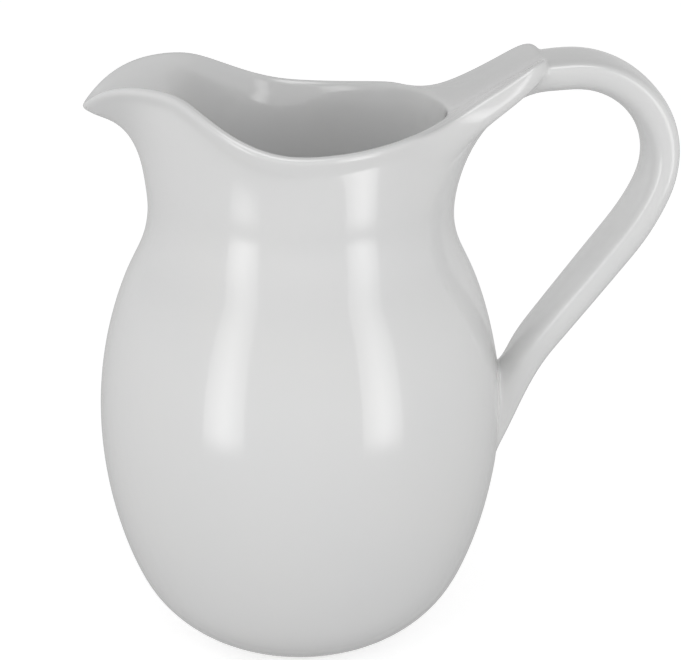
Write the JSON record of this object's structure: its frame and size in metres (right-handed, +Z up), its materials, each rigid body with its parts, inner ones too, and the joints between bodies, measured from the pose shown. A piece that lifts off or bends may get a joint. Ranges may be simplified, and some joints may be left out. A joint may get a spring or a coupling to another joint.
{
  "type": "pitcher",
  "caption": "Glazed porcelain pitcher with an egg-shaped belly, a narrowed neck, a pulled spout and a broad strap handle that starts as a thumb rest on the rim.",
  "frame": {"origin": "on the table, at the centre of the foot ring, under the axis of the belly", "axes": "+Z up along the belly's axis, -X towards the spout, +X towards the handle, Y across"},
  "size_m": [0.1921, 0.1338, 0.2014],
  "materials": {
    "glazed_porcelain": "gloss white glaze, unglazed foot ring"
  },
  "bodies": {
    "root": {"pitcher": "glazed_porcelain"}
  },
  "joints": []
}
